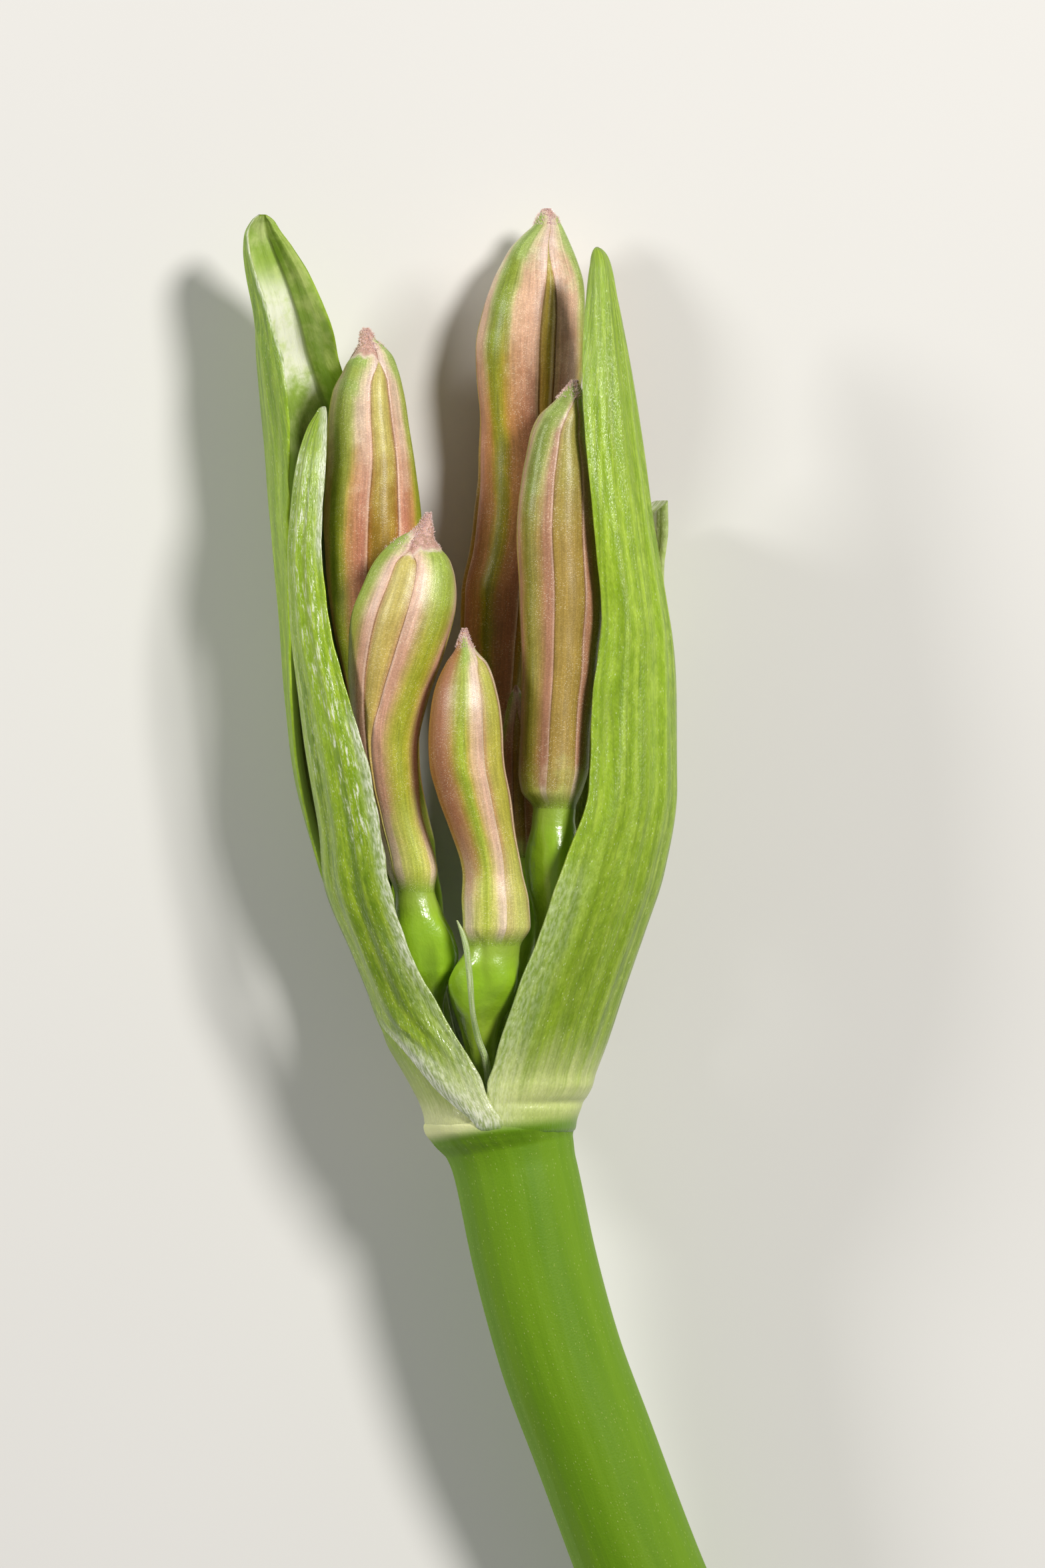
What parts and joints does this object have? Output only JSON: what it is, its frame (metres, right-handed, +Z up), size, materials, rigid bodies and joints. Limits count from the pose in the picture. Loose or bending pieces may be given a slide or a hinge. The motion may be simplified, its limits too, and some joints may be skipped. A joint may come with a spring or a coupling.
{
  "type": "red spider lily bud head on a cut scape",
  "caption": "Opening bud head of a red spider lily: striped pink and green flower buds between green spathe valves on a cut scape, lying on its back.",
  "frame": {"origin": "on the surface it rests on, under the middle of its box", "axes": "+Z up from the surface towards the open front of the head, +Y along the head from the cut end to the tips"},
  "size_m": [0.025, 0.0734, 0.0119],
  "materials": {
    "scape_green": "smooth fleshy yellow-green stem with fine pale dots and faint lengthwise streaks",
    "valve_green": "satin yellow-green leaf skin with paler lengthwise veins and a glossy rim",
    "bract_silver": "green papery skin with silvery sparkle and a whitish margin",
    "bracteole_paper": "thin whitish papery tissue",
    "tepal_pink": "salmon-pink tepals with green midribs and olive strips, finely sparkling",
    "ovary_green": "glossy saturated green"
  },
  "bodies": {
    "root": {"scape": "scape_green", "spathe_valve_left": "valve_green", "spathe_valve_right": "valve_green", "bract_front_left": "bract_silver", "bract_back_right": "bract_silver", "bracteole": "bracteole_paper", "bud_back_left": "tepal_pink", "ovary_back_left": "ovary_green", "bud_back_tall": "tepal_pink", "ovary_back_tall": "ovary_green", "bud_front_left": "tepal_pink", "ovary_front_left": "ovary_green", "bud_front_small": "tepal_pink", "ovary_front_small": "ovary_green", "bud_right": "tepal_pink", "ovary_right": "ovary_green", "bud_hidden_small": "tepal_pink", "ovary_hidden_small": "ovary_green"}
  },
  "joints": []
}
